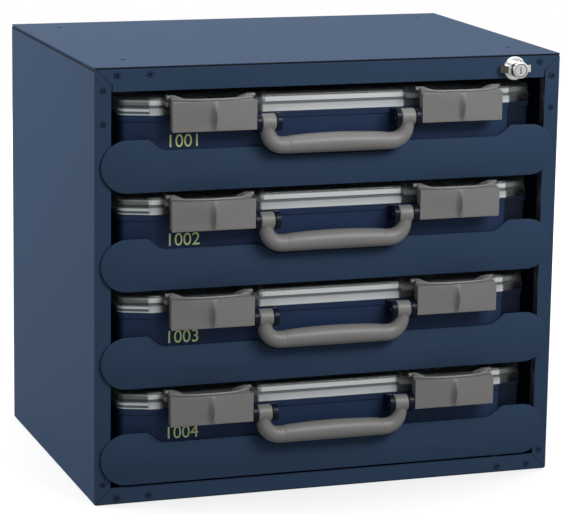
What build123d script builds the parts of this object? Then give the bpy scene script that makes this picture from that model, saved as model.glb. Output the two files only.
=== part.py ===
from build123d import *
import math
import os

# A steel cabinet with four pull-out drawers.  Each drawer carries a compartment case that has a
# clear lid, two wide latches and a folding handle.  X is to the right, Y to the back, Z up, and the
# origin is at the middle of the cabinet's underside.  All sizes are in millimetres.

# Cabinet shell
width = 464.0
depth = 331.0
height = 416.0
sheet = 1.2
bend_radius = 2.5
stile_width = 15.6
top_rail_height = 22.5
bottom_rail_height = 16.7
rear_flange_width = 14.0
top_flange_width = 14.0
relief_gap = 1.5
mitre_gap = 0.4
back_sheet = 1.0
bolt_spacing_x = 390.0
bolt_spacing_y = 242.0
bolt_offset_x = 3.8
bolt_offset_y = 7.0
bolt_hole_radius = 2.75

# Corner gussets and blind rivets
gusset_thickness = 1.5
gusset_leg = 62.0
short_gusset_leg = 29.0
gusset_inset = 1.0
corner_clearance = 0.2
rivet_head_radius = 3.3
rivet_head_height = 1.2
rivet_dome_run = 1.4
rivet_edge = 0.3
rivet_shank_radius = 1.6
rivet_tail_radius = 2.3
rivet_tail_height = 1.2
rivet_core_radius = 1.0
rivet_core_depth = 1.6
rivet_fit = 0.05
rail_rivet_spots = (21.8, 53.0)
rail_rivet_drop = 7.0
stile_rivet_spots = (20.8, 52.0)
stile_rivet_inset = 8.4
back_rivet_columns = 4
back_rivet_rows = 3
back_rivet_margin = 40.0

# Drawer stack, counted from the top
drawer_count = 4
sill_gap = 2.5
head_gap = 1.5

# Drawer front plate
plate_thickness = 1.2
plate_gap = 1.6
plate_overlap = 9.9
plate_end_height = 49.7
plate_middle_height = 39.1
plate_low_height = 29.8
plate_end_flat = 0.1
plate_step_offset = 4.5
plate_step_run = 13.0
plate_dip_offset = 3.7
plate_dip_run = 15.5
plate_crest_radius = 4.0
plate_valley_radius = 13.0

# Drawer tray
tray_sheet = 1.0
tray_rise = 7.2
tray_wall_height = 21.0
tray_opening_gap = 8.2
tray_rear_gap = 18.4
tray_side_clearance = 0.7
tray_corner_radius = 3.0

# Telescopic slides
slide_setback = 25.5
slide_height = 11.0
slide_inner_half = 6.0
slide_inner_reach = 4.0
slide_sheet = 1.0
slide_clearance = 0.3
slide_lip_gap = 1.5
slide_outer_sheet = 1.2
bracket_length = 22.0
bracket_sheet = 1.5
bracket_margin = 30.0

# Compartment case, measured from the tray floor
case_setback = 2.0
case_rear_gap = 3.0
case_head_gap = 6.0
case_flange = 1.5
facet_run = 28.5
facet_drop = 10.5
case_front_radius = 8.0
case_rear_radius = 12.0
facet_radius = 3.0
case_wall = 2.2
base_rim_height = 5.5
base_rim_proud = 1.2
lid_flange_height = 6.4
lid_neck_height = 2.9
lid_neck_recess = 0.8
lid_crown_height = 6.7
lid_top = 2.0
lid_edge_radius = 1.2
lid_rib_pitch = 39.5
lid_rib_width = 1.2
lid_rib_depth = 1.6
lid_rib_columns = 9

# Rear hinge of the case
hinge_radius = 3.6
hinge_pin_radius = 1.5
hinge_fit = 0.05
hinge_knuckle = 30.0
hinge_end_knuckle = 12.0
hinge_gap = 0.3
hinge_x = 110.0
hinge_drop = 1.0

# Insert bins
bin_columns = 3
bin_rows = 2
bin_side_gap = 5.95
bin_front_gap = 10.9
bin_rear_gap = 0.5
bin_gap = 0.8
bin_wall = 1.2
bin_headroom = 4.8
bin_corner_radius = 7.0

# Latches
latch_lug_gap = 0.7
latch_facet_gap = 13.0
latch_face_proud = 17.7
latch_drop = 13.0
latch_rim_rise = 1.2
latch_wall = 1.9
latch_pivot_rise = 1.3
latch_pivot_forward = 7.0
latch_pin_radius = 2.0
latch_pin_length = 2.2
latch_knuckle_radius = 2.9
latch_cheek_base = 8.0
latch_scoop_span = 62.0
latch_scoop_foot = 34.0
latch_lip_height = 2.4
latch_lip_clearance = 0.8
latch_corner_radius = 1.4
latch_ridge_width = 10.0
latch_ridge_proud = 6.5
latch_ridge_end = 0.4
latch_ridge_sections = 9
catch_height = 5.8
catch_width = 60.0
catch_reach = 12.5
catch_overlap = 3.0
ear_gap = 0.3
ear_radius = 3.6
ear_thickness = 2.5
ear_box_width = 11.0
ear_web = 2.0
ear_reach = 5.5
pin_fit = 0.05

# Carry handle
handle_pivot_drop = 7.7
handle_pivot_forward = 13.5
handle_leg_x = 69.3
handle_leg_width = 14.2
handle_leg_depth = 13.4
handle_eye_radius = 8.2
handle_leg_relief = 0.3
handle_drop = 21.6
handle_corner_radius = 15.0
grip_radius = 9.3
grip_end_radius = 8.1
grip_half_length = 50.0
handle_pin_radius = 3.0
handle_pin_length = 3.6
lug_radius = 8.8
lug_thickness = 4.8
lug_gap = 0.3
lug_top_drop = 0.8

# Cam lock and wing knob
lock_inset = 48.7
lock_drop = 12.9
lock_ring_radius = 11.5
lock_ring_thickness = 2.5
lock_barrel_radius = 8.0
lock_barrel_length = 15.0
lock_fit = 0.06
lock_nut_flats = 20.0
lock_nut_thickness = 4.0
lock_plug_radius = 6.3
knob_gap = 0.3
knob_hub_radius = 7.9
knob_length = 14.2
knob_hub_edge = 0.8
knob_wing_span = 31.8
knob_wing_height = 6.9
knob_wing_root = 6.5
knob_wing_tip = 1.4
knob_wing_edge = 0.5
plug_recess = 0.4
key_slot_length = 6.5
key_slot_width = 1.7
key_slot_depth = 7.0
cam_radius = 7.8
cam_thickness = 2.5
cam_throw = 5.0
cam_pin_radius = 2.0
cam_screw_radius = 1.9
cam_screw_head_radius = 3.2
cam_screw_head_height = 1.3
cam_screw_length = 8.0

# Lock bar, its guides and the tabs that it catches
bar_thickness = 1.5
bar_clearance = 0.5
bar_width = 8.0
bar_wall_gap = 2.4
bar_arm_height = 10.0
bar_slot_clearance = 0.35
bar_slot_spare = 3.0
bar_arm_margin = 5.0
bar_foot = 18.0
finger_width = 2.6
finger_shoulder_gap = 0.5
finger_arm_height = 3.0
finger_gap = 1.2
tab_height = 38.6
tab_width = 5.4
tab_thickness = 1.5
tab_stile_gap = 0.6
tab_hole_clearance = 0.5
tab_end = 3.0
guide_sheet = 1.2
guide_gap = 0.3
guide_height = 14.0
guide_rise = 62.0

# Places that follow from the driving sizes
front = -depth / 2
rear = depth / 2
half = width / 2
opening_half = half - stile_width
plate_back = front - plate_gap
plate_front = plate_back - plate_thickness
drawer_pitch = (height - top_rail_height - bottom_rail_height - sill_gap - head_gap) / drawer_count
tray_front = plate_back
tray_rear = rear - sheet - back_sheet - tray_rear_gap
tray_half = opening_half - tray_opening_gap
tray_inner_half = tray_half - tray_sheet
case_half_width = tray_inner_half - tray_side_clearance - case_flange
case_front = tray_front + tray_sheet + case_setback
case_rear = tray_rear - tray_sheet - case_rear_gap
facet_start_x = case_half_width - facet_run
lid_height = lid_flange_height + lid_neck_height + lid_crown_height
case_height = drawer_pitch - tray_rise - case_head_gap
base_height = case_height - lid_height
lid_neck_base = base_height + lid_flange_height
lid_crown_base = lid_neck_base + lid_neck_height
handle_pivot_height = base_height - handle_pivot_drop
latch_inner_x = (handle_leg_x + handle_leg_width / 2 + lug_gap + lug_thickness
                 + latch_lug_gap)
latch_outer_x = facet_start_x - latch_facet_gap
latch_centre_x = (latch_inner_x + latch_outer_x) / 2
latch_bottom = base_height - latch_drop
latch_rim_height = case_height + latch_rim_rise
latch_pivot_height = case_height + latch_pivot_rise
latch_face = plate_front - latch_face_proud
latch_pivot_y = case_front - latch_pivot_forward
handle_pivot_y = case_front - handle_pivot_forward
hinge_y = case_rear + case_flange + hinge_gap + hinge_radius
inner_corner = bend_radius - sheet + corner_clearance
slide_front = front + slide_setback
slide_length = tray_rear - slide_front
middle_half = slide_inner_half + slide_clearance + slide_sheet
middle_web = slide_inner_reach + slide_clearance + slide_sheet
outer_half = middle_half + slide_clearance + slide_outer_sheet
outer_web = middle_web + slide_clearance + slide_outer_sheet
lock_x = half - lock_inset
knob_rear = front - lock_ring_thickness - knob_gap
knob_front = knob_rear - knob_length
lock_z = height - lock_drop
plug_rear = front + lock_barrel_length + knob_gap
cam_rear = plug_rear + cam_thickness
bar_front = cam_rear + bar_clearance
bar_rear = bar_front + bar_thickness
bar_outer_x = half - sheet - bar_wall_gap
bar_inner_x = bar_outer_x - bar_width
tab_outer_x = opening_half - tab_stile_gap
finger_x = tab_outer_x - tab_width / 2
cam_start = -45.0
cam_rise = 2 * cam_throw * math.sin(math.radians(-cam_start))
finger_rise = cam_rise - finger_gap + finger_shoulder_gap
drawer_numbers = range(1, drawer_count + 1)


def plate_bottom(number):
    return bottom_rail_height + sill_gap + (drawer_count - number) * drawer_pitch


def tray_floor(number):
    return plate_bottom(number) + tray_rise


def block(xs, ys, zs):
    """Box between two limits on each axis."""
    size = [high - low for low, high in (xs, ys, zs)]
    centre = [(low + high) / 2 for low, high in (xs, ys, zs)]
    return Pos(*centre) * Box(*size)


def outline(points):
    """Closed flat face; each point is its two coordinates and a corner radius, which may be 0."""
    starts, ends, middles = [], [], []
    count = len(points)
    for index, (u, v, radius) in enumerate(points):
        corner = Vector(u, v)
        before = Vector(*points[index - 1][:2])
        after = Vector(*points[(index + 1) % count][:2])
        to_before = (before - corner).normalized()
        to_after = (after - corner).normalized()
        half_angle = math.radians(to_before.get_angle(to_after)) / 2
        run = radius / math.tan(half_angle)
        starts.append(corner + to_before * run)
        ends.append(corner + to_after * run)
        if radius > 0:
            inward = (to_before + to_after).normalized()
            reach = radius / math.sin(half_angle)
            middles.append(corner + inward * (reach - radius))
        else:
            middles.append(None)
    edges = []
    for index in range(count):
        if middles[index] is not None:
            edges.append(ThreePointArc(starts[index], middles[index], ends[index]))
        following = (index + 1) % count
        edges.append(Line(ends[index], starts[following]))
    return make_face(edges)


def from_front(face, ys):
    """Face drawn in X and Z, as solid between two Y limits."""
    return Pos(0, ys[1], 0) * extrude(Plane.XZ * face, amount=ys[1] - ys[0])


def from_side(face, xs):
    """Face drawn in Y and Z, as solid between two X limits."""
    return Pos(xs[0], 0, 0) * extrude(Plane.YZ * face, amount=xs[1] - xs[0])


def from_above(face, zs):
    """Face drawn in X and Y, as solid between two Z limits."""
    return Pos(0, 0, zs[0]) * extrude(face, amount=zs[1] - zs[0])


def rod_x(radius, xs, y, z):
    return Pos((xs[0] + xs[1]) / 2, y, z) * Rot(0, 90, 0) * Cylinder(radius, xs[1] - xs[0])


def rod_y(radius, ys, x, z):
    return Pos(x, (ys[0] + ys[1]) / 2, z) * Rot(90, 0, 0) * Cylinder(radius, ys[1] - ys[0])


def rod_z(radius, zs, x, y):
    return Pos(x, y, (zs[0] + zs[1]) / 2) * Cylinder(radius, zs[1] - zs[0])


def both_sides(shape):
    """The shape and its mirror image about the middle plane of the cabinet."""
    return [shape, mirror(shape, about=Plane.YZ)]


def save(shape, node):
    """One solid, or a list of separate solids as a group."""
    if isinstance(shape, list):
        shape = Compound(children=[piece for group in shape for piece in group.solids()])
    export_step(shape, f"parts/{node}.step")


def rounded_box(xs, ys, zs, radius):
    body = block(xs, ys, zs)
    return fillet(body.edges(), radius)


# Frame rivets

def mirrored_spots(points):
    """Points on the right side with their mirror points on the left."""
    return points + [(-x, z) for x, z in points]


def frame_rivet_spots():
    """Rivets through rails and stiles; the lock takes the place of the second one at top right."""
    spots = []
    for inset in rail_rivet_spots:
        spots += mirrored_spots([(half - inset, height - rail_rivet_drop)])
        spots += mirrored_spots([(half - inset, rail_rivet_drop)])
    for inset in stile_rivet_spots:
        spots += mirrored_spots([(half - stile_rivet_inset, height - inset)])
        spots += mirrored_spots([(half - stile_rivet_inset, inset)])
    crowded = (half - rail_rivet_spots[1], height - rail_rivet_drop)
    return [spot for spot in spots if spot != crowded]


def back_rivet_spots():
    """Rivets through the rear flanges, evenly spaced along each of the four."""
    inset = rear_flange_width / 2
    span_x = width - 2 * back_rivet_margin
    span_z = height - 2 * back_rivet_margin
    spots = []
    for index in range(back_rivet_columns):
        x = -span_x / 2 + index * span_x / (back_rivet_columns - 1)
        spots += [(x, inset), (x, height - inset)]
    for index in range(back_rivet_rows):
        z = back_rivet_margin + index * span_z / (back_rivet_rows - 1)
        spots += mirrored_spots([(half - inset, z)])
    return spots


def rivet(grip):
    """Blind rivet along +Y: domed head before y = 0, tail behind the grip, hollow core."""
    head = Line((0, -rivet_head_height),
                (rivet_head_radius - rivet_dome_run, -rivet_head_height))
    dome = TangentArc(head @ 1, (rivet_head_radius, -rivet_edge), tangent=(1, 0))
    rest = Polyline(dome @ 1, (rivet_head_radius, 0), (rivet_shank_radius, 0),
                    (rivet_shank_radius, grip), (rivet_tail_radius, grip),
                    (rivet_tail_radius - rivet_edge, grip + rivet_tail_height),
                    (0, grip + rivet_tail_height), (0, -rivet_head_height))
    body = revolve(make_face([head, dome, rest]), Axis.Y)
    return body - rod_y(rivet_core_radius, (-rivet_head_height, rivet_core_depth), 0, 0)


def rivet_holes(spots, ys):
    return [rod_y(rivet_shank_radius + rivet_fit, ys, x, z) for x, z in spots]


def bolt_holes(zs):
    spots = [(bolt_offset_x + sx * bolt_spacing_x / 2, bolt_offset_y + sy * bolt_spacing_y / 2)
             for sx in (-1, 1) for sy in (-1, 1)]
    return [rod_z(bolt_hole_radius, zs, x, y) for x, y in spots]


# Cabinet shell

def top_corner_face(flange, rail, gap):
    """Front or rear flange of the top panel: mitred ends, relieved beside the upright flange."""
    inner = half - flange
    low = height - rail
    shoulder = height - flange
    right = [(half, height + gap, 0), (half + gap, height, 0), (inner + gap, shoulder - gap, 0),
             (inner - relief_gap, shoulder - gap, 0), (inner - relief_gap, low, 0)]
    if gap == 0:
        right = right[1:]
    left = [(-x, z, r) for x, z, r in reversed(right)]
    return outline(right + left)


def cabinet_wrap():
    """Sides and bottom in one bent sheet, with flanges round the front, the rear and the top."""
    outer = rounded_box((-half, half), (front, rear), (0, height - sheet), bend_radius)
    inner = rounded_box((-half + sheet, half - sheet), (front + sheet, rear - sheet),
                        (sheet, height - 2 * sheet), bend_radius - sheet)
    wrap = outer - inner
    reach = bend_radius * 2
    top_half = half - top_flange_width
    rear_half = half - rear_flange_width
    above = height + reach
    wrap -= block((-top_half, top_half), (front - reach, rear + reach), (height - reach, above))
    wrap -= block((-opening_half, opening_half), (front - reach, front + reach),
                  (bottom_rail_height, above))
    wrap -= block((-rear_half, rear_half), (rear - reach, rear + reach),
                  (rear_flange_width, above))
    front_corner = top_corner_face(stile_width, top_rail_height, mitre_gap)
    wrap -= from_front(front_corner, (front - reach, front + sheet))
    rear_corner = top_corner_face(rear_flange_width, rear_flange_width + relief_gap, mitre_gap)
    wrap -= from_front(rear_corner, (rear - sheet, rear + reach))
    run = math.hypot(stile_width, bottom_rail_height)
    slope = math.degrees(math.atan2(bottom_rail_height, stile_width))
    seam = Pos(-opening_half, 0, bottom_rail_height) * Rot(0, -slope, 0) * block(
        (-run + bend_radius, mitre_gap), (front - reach, front + sheet), (-mitre_gap / 2, mitre_gap / 2))
    wrap -= both_sides(seam)
    wrap -= rivet_holes(frame_rivet_spots(), (front - reach, front + reach))
    wrap -= rivet_holes(back_rivet_spots(), (rear - reach, rear + reach))
    wrap -= bolt_holes((-reach, reach))
    return wrap


def top_panel():
    """Top sheet with the front rail and a rear flange turned down."""
    reach = bend_radius * 2
    drop = top_rail_height + reach
    outer = block((-half, half), (front, rear), (height - drop, height))
    outer = fillet(outer.edges().filter_by(Axis.X).group_by(Axis.Z)[-1], bend_radius)
    inner = block((-half - reach, half + reach), (front + sheet, rear - sheet),
                  (height - drop - reach, height - sheet))
    inner = fillet(inner.edges().filter_by(Axis.X).group_by(Axis.Z)[-1], bend_radius - sheet)
    panel = outer - inner
    front_keep = from_front(top_corner_face(stile_width, top_rail_height, 0),
                            (front, front + bend_radius))
    rear_keep = from_front(top_corner_face(rear_flange_width, rear_flange_width + relief_gap, 0),
                           (rear - bend_radius, rear))
    middle_keep = block((-half, half), (front + bend_radius, rear - bend_radius),
                        (height - sheet, height))
    panel = panel & (front_keep + rear_keep + middle_keep)
    clear_x = half - top_flange_width - relief_gap
    for ys in ((front + sheet, front + bend_radius), (rear - bend_radius, rear - sheet)):
        for xs in ((-half, -clear_x), (clear_x, half)):
            panel -= block(xs, ys, (height - drop, height - sheet))
    panel -= rivet_holes(frame_rivet_spots(), (front - reach, front + reach))
    panel -= rivet_holes(back_rivet_spots(), (rear - reach, rear + reach))
    panel -= bolt_holes((height - reach, height + reach))
    panel -= rod_y(lock_barrel_radius + lock_fit, (front - reach, front + reach), lock_x, lock_z)
    return panel


def back_panel():
    edge = sheet + inner_corner
    panel = block((-half + edge, half - edge), (rear - sheet - back_sheet, rear - sheet),
                  (edge, height - edge - sheet))
    return panel - rivet_holes(back_rivet_spots(), (rear - 2 * sheet - back_sheet, rear))


def corner_gusset(side, level, rail_leg):
    """L-shaped plate behind one corner of the front frame; side and level are -1 or 1."""
    outer_x = half - sheet - inner_corner
    inner_x = opening_half + gusset_inset
    if level > 0:
        outer_z = height - 2 * sheet - inner_corner
        inner_z = height - top_rail_height + gusset_inset
    else:
        outer_z = sheet + inner_corner
        inner_z = bottom_rail_height - gusset_inset
    tip_z = outer_z - level * gusset_leg
    tip_x = outer_x - rail_leg
    points = [(outer_x, outer_z), (tip_x, outer_z), (tip_x, inner_z), (inner_x, inner_z),
              (inner_x, tip_z), (outer_x, tip_z)]
    face = outline([(side * x, z, 0) for x, z in points])
    return from_front(face, (front + sheet, front + sheet + gusset_thickness))


def corner_gussets():
    plates = []
    for side in (-1, 1):
        for level in (-1, 1):
            rail_leg = short_gusset_leg if side > 0 and level > 0 else gusset_leg
            plate = corner_gusset(side, level, rail_leg)
            for hole in rivet_holes(frame_rivet_spots(), (front, front + 2 * bend_radius)):
                plate -= hole
            plates.append(plate)
    return plates


def panel_rivets():
    frame = rivet(sheet + gusset_thickness)
    back = Rot(0, 0, 180) * rivet(sheet + back_sheet)
    rivets = [Pos(x, front, z) * frame for x, z in frame_rivet_spots()]
    rivets += [Pos(x, rear, z) * back for x, z in back_rivet_spots()]
    return rivets


# Drawer slides, drawn on the right side and mirrored

def channel(web, half_height, reach, thickness):
    """C-section rail: web and reach are X limits measured from the tray side."""
    low, high = sorted((web, reach))
    inner_low = low + thickness if low == web else low
    inner_high = high if low == web else high - thickness
    span = (slide_front, slide_front + slide_length)
    rail = block((tray_half + low, tray_half + high), span,
                 (slide_height - half_height, slide_height + half_height))
    return rail - block((tray_half + inner_low, tray_half + inner_high), span,
                        (slide_height - half_height + thickness,
                         slide_height + half_height - thickness))


def rail_inner():
    return both_sides(channel(0, slide_inner_half, slide_inner_reach, slide_sheet))


def rail_middle():
    return both_sides(channel(middle_web, middle_half, slide_lip_gap, slide_sheet))


def rail_outer():
    """Outer rail with two hat brackets that stand it off the cabinet side."""
    rail = channel(outer_web, outer_half, slide_lip_gap + slide_sheet, slide_outer_sheet)
    heights = (slide_height - slide_inner_half, slide_height + slide_inner_half)
    back_face = tray_half + outer_web
    for start in (slide_front + bracket_margin,
                  slide_front + slide_length - bracket_margin - bracket_length):
        hat = block((back_face, half - sheet), (start, start + bracket_length), heights)
        hat -= block((back_face + bracket_sheet, half), (start + bracket_sheet,
                     start + bracket_length - bracket_sheet), heights)
        rail += hat
    return both_sides(rail)


# Drawer front and tray

def plate_face():
    """Front plate outline: round ends, a step down beside each end and a dip at the handle."""
    low = -tray_rise
    end = opening_half + plate_overlap
    end_radius = (plate_end_height - plate_end_flat) / 2
    step_x = latch_outer_x + plate_step_offset
    dip_x = handle_leg_x + plate_dip_offset
    top = low + plate_end_height
    middle = low + plate_middle_height
    dip = low + plate_low_height
    right = [(end, low, end_radius), (end, top, end_radius),
             (step_x + plate_step_run, top, plate_crest_radius),
             (step_x, middle, plate_valley_radius),
             (dip_x, middle, plate_crest_radius),
             (dip_x - plate_dip_run, dip, plate_valley_radius)]
    left = [(-x, z, r) for x, z, r in reversed(right)]
    return outline(right + left)


def drawer_front():
    """Front plate with the tab that the lock bar catches."""
    plate = from_front(plate_face(), (plate_front, plate_back))
    low = tab_height - tray_rise
    tab_inner_x = tab_outer_x - tab_width
    tab = block((tab_inner_x, tab_outer_x), (plate_back, bar_rear + tab_end),
                (low, low + tab_thickness))
    reach_x = finger_width / 2 + tab_hole_clearance
    tab -= block((finger_x - reach_x, finger_x + reach_x),
                 (bar_front - tab_hole_clearance, bar_rear + tab_hole_clearance),
                 (low, low + tab_thickness))
    return plate + tab


def tray():
    body = block((-tray_half, tray_half), (tray_front, tray_rear),
                 (-tray_sheet, tray_wall_height))
    body = fillet(body.edges().filter_by(Axis.Z), tray_corner_radius)
    cavity = block((-tray_inner_half, tray_inner_half),
                   (tray_front + tray_sheet, tray_rear - tray_sheet), (0, tray_wall_height))
    return body - fillet(cavity.edges().filter_by(Axis.Z), tray_corner_radius - tray_sheet)


# Compartment case

def case_face(grow):
    """Plan of the case with its slanted front corners, grown outwards by the given amount."""
    side = case_half_width + grow
    slope = math.hypot(facet_drop, case_half_width - facet_start_x)
    cosine = (case_half_width - facet_start_x) / slope
    sine = facet_drop / slope
    near = case_front - grow
    start_x = facet_start_x + grow * (1 - cosine) / sine
    corner_y = near + (side - start_x) * sine / cosine
    far = case_rear + grow
    right = [(start_x, near, facet_radius), (side, corner_y, case_front_radius + grow),
             (side, far, case_rear_radius + grow)]
    left = [(-x, y, r) for x, y, r in reversed(right)]
    return outline(right + left)


def hinge_rod(radius, start, length):
    """Rod on the rear hinge line of a case; start is its lower X on the right-hand hinge."""
    z = base_height - hinge_drop
    return rod_x(radius, (start, start + length), hinge_y, z)


def hinge_web(start, length, to_lid):
    """Web that joins a hinge knuckle to the base below it or to the lid above it."""
    centre = base_height - hinge_drop
    y = hinge_y
    if to_lid:
        zs = (base_height, lid_neck_base)
        wall = case_rear + case_flange / 2
    else:
        zs = (centre - hinge_radius * 2, centre)
        wall = case_rear - case_wall / 2
    ys = (wall, y + hinge_radius) if to_lid else (wall, y)
    return block((start, start + length), ys, zs)


def handle_lugs():
    """Round lugs on the base, two for each leg of the handle."""
    pivot_z = handle_pivot_height
    leg_inner = handle_leg_x - handle_leg_width / 2
    leg_outer = handle_leg_x + handle_leg_width / 2
    spans = [(leg_inner - lug_gap - lug_thickness, leg_inner - lug_gap),
             (leg_outer + lug_gap, leg_outer + lug_gap + lug_thickness)]
    lugs = []
    for span in spans:
        lug = rod_x(lug_radius, span, handle_pivot_y, pivot_z)
        lug += block(span, (handle_pivot_y, case_front + case_wall / 2),
                     (pivot_z - lug_radius, base_height - lug_top_drop))
        bore = handle_pin_radius + pin_fit
        lug -= rod_x(bore, span, handle_pivot_y, pivot_z)
        lugs += both_sides(lug)
    return lugs


def case_base():
    base = from_above(case_face(0), (0, base_height))
    base = fillet(base.faces().sort_by(Axis.Z)[0].edges(), case_wall)
    rim = (base_height - base_rim_height, base_height)
    base += from_above(case_face(base_rim_proud), rim)
    catch_low = latch_bottom + latch_lip_height + latch_lip_clearance
    catch = block((latch_centre_x - catch_width / 2, latch_centre_x + catch_width / 2),
                  (case_front - catch_reach, case_front + case_wall / 2),
                  (catch_low, catch_low + catch_height))
    for piece in both_sides(catch) + handle_lugs():
        base += piece
    knuckle = hinge_rod(hinge_radius, hinge_x - hinge_knuckle / 2, hinge_knuckle)
    knuckle += hinge_web(hinge_x - hinge_knuckle / 2, hinge_knuckle, False)
    knuckle += hinge_rod(hinge_pin_radius, hinge_x - hinge_knuckle / 2 - hinge_end_knuckle,
                         hinge_knuckle + 2 * hinge_end_knuckle)
    for piece in both_sides(knuckle):
        base += piece
    return base - from_above(case_face(-case_wall), (case_wall, base_height))


def ear(xs):
    """Lid ear that carries one end of a latch."""
    z = latch_pivot_height
    plate = rod_x(ear_radius, xs, latch_pivot_y, z)
    plate += block(xs, (latch_pivot_y, case_front + case_wall / 2),
                   (lid_crown_base, case_height))
    plate += block(xs, (latch_pivot_y - ear_radius, latch_pivot_y),
                   (lid_crown_base, z))
    return plate


def lid_ears():
    """Boxed ears at the inner ends of the latches, plain ears at the outer ends."""
    inner = latch_inner_x - ear_gap
    outer = latch_outer_x + ear_gap
    box = inner - ear_box_width
    ears = [ear((start, start + ear_thickness)) for start in (box, inner - ear_thickness, outer)]
    web = block((box, inner),
                (latch_pivot_y - ear_radius, latch_pivot_y - ear_radius + ear_web),
                (lid_crown_base, latch_pivot_height))
    ears.append(web)
    return [piece for shape in ears for piece in both_sides(shape)]


def case_lid():
    """Clear lid: flange, recessed neck, crown, ribbed underside, hinge knuckles and latch ears."""
    lid = from_above(case_face(case_flange), (base_height, lid_neck_base))
    lid += from_above(case_face(-lid_neck_recess),
                      (lid_neck_base, lid_crown_base))
    crown = from_above(case_face(0), (lid_crown_base, case_height))
    lid += fillet(crown.faces().sort_by(Axis.Z)[-1].edges(), lid_edge_radius)
    inside = -lid_neck_recess - case_wall
    lid -= from_above(case_face(inside), (base_height, case_height - lid_top))
    rib_zs = (case_height - lid_top - lid_rib_depth, case_height - lid_top)
    middle_y = (case_front + case_rear) / 2
    length = case_rear - case_front + 2 * inside
    for column in range(lid_rib_columns):
        x = (column - (lid_rib_columns - 1) / 2) * lid_rib_pitch
        lid += block((x - lid_rib_width / 2, x + lid_rib_width / 2),
                     (middle_y - length / 2, middle_y + length / 2), rib_zs)
    for piece in lid_ears():
        lid += piece
    bore = latch_pin_radius + pin_fit
    reach = ear_gap + ear_thickness
    for hole in both_sides(rod_x(bore, (latch_inner_x - reach, latch_outer_x + reach),
                                 latch_pivot_y, latch_pivot_height)):
        lid -= hole
    starts = (hinge_x - hinge_knuckle / 2 - hinge_gap - hinge_end_knuckle,
              hinge_x + hinge_knuckle / 2 + hinge_gap)
    for start in starts:
        knuckle = hinge_rod(hinge_radius, start, hinge_end_knuckle)
        knuckle += hinge_web(start, hinge_end_knuckle, True)
        knuckle -= hinge_rod(hinge_pin_radius + hinge_fit, start, hinge_end_knuckle)
        for piece in both_sides(knuckle):
            lid += piece
    return lid


def bins():
    """Loose insert bins that fill the case."""
    low = case_wall
    high = base_height - bin_headroom
    half_span = case_half_width - case_wall - bin_side_gap
    y_first = case_front + case_wall + bin_front_gap
    y_last = case_rear - case_wall - bin_rear_gap
    pitch_x = (2 * half_span + bin_gap) / bin_columns
    pitch_y = (y_last - y_first + bin_gap) / bin_rows
    size_x = pitch_x - bin_gap
    size_y = pitch_y - bin_gap
    cup = block((-size_x / 2, size_x / 2), (-size_y / 2, size_y / 2), (low, high))
    cup = fillet(cup.edges().filter_by(Axis.Z), bin_corner_radius)
    hollow = block((-size_x / 2 + bin_wall, size_x / 2 - bin_wall),
                   (-size_y / 2 + bin_wall, size_y / 2 - bin_wall),
                   (low + bin_wall, high))
    cup -= fillet(hollow.edges().filter_by(Axis.Z), bin_corner_radius - bin_wall)
    places = []
    for column in range(bin_columns):
        for row in range(bin_rows):
            x = (column - (bin_columns - 1) / 2) * pitch_x
            y = y_first + size_y / 2 + row * pitch_y
            places.append(Pos(x, y, 0) * cup)
    return places


# Latches

def latch_ridge():
    """Thumb ridge down the middle of a latch: straight foot, and a crest that swells forward."""
    low = latch_bottom + latch_corner_radius
    side = latch_ridge_width / 2
    sections = []
    for index in range(latch_ridge_sections):
        along = index / (latch_ridge_sections - 1)
        proud = latch_ridge_end + 4 * latch_ridge_proud * along * (1 - along)
        face = outline([(latch_centre_x - side, latch_face, 0),
                        (latch_centre_x, latch_face - proud, 0),
                        (latch_centre_x + side, latch_face, 0),
                        (latch_centre_x, latch_face + latch_wall / 2, 0)])
        sections.append(Pos(0, 0, low + along * (latch_rim_height - low)) * face)
    return loft(sections, ruled=True)


def latch():
    """Right-hand latch: hollow cover open at the top, a thumb ridge, a lip and hinge pins."""
    pivot_z = latch_pivot_height
    xs = (latch_inner_x, latch_outer_x)
    low = latch_bottom
    back = latch_pivot_y + latch_knuckle_radius
    top = pivot_z + latch_knuckle_radius
    section = outline([(latch_face, low, latch_corner_radius), (latch_face, latch_rim_height, 0),
                       (latch_pivot_y - latch_knuckle_radius, top, 0),
                       (back, top, latch_knuckle_radius / 2), (back, low, 0)])
    cover = from_side(section, xs)
    inner_xs = (xs[0] + latch_wall, xs[1] - latch_wall)
    inner_face = latch_face + latch_wall
    cheek_base = case_height - latch_cheek_base
    cover -= block(inner_xs, (inner_face, back), (low + latch_lip_height, cheek_base))
    lip_back = case_front - catch_reach + catch_overlap
    cover -= block(xs, (lip_back, back), (low, cheek_base))
    scoop = outline([(latch_centre_x - latch_scoop_foot / 2, cheek_base, 0),
                     (latch_centre_x - latch_scoop_span / 2, top, 0),
                     (latch_centre_x + latch_scoop_span / 2, top, 0),
                     (latch_centre_x + latch_scoop_foot / 2, cheek_base, 0)])
    cover -= from_front(scoop, (inner_face, back))
    cover += latch_ridge()
    pins = [rod_x(latch_pin_radius, span, latch_pivot_y, pivot_z)
            for span in ((xs[0] - latch_pin_length, xs[0] + latch_wall),
                         (xs[1] - latch_wall, xs[1] + latch_pin_length))]
    return cover + pins


# Carry handle

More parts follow.
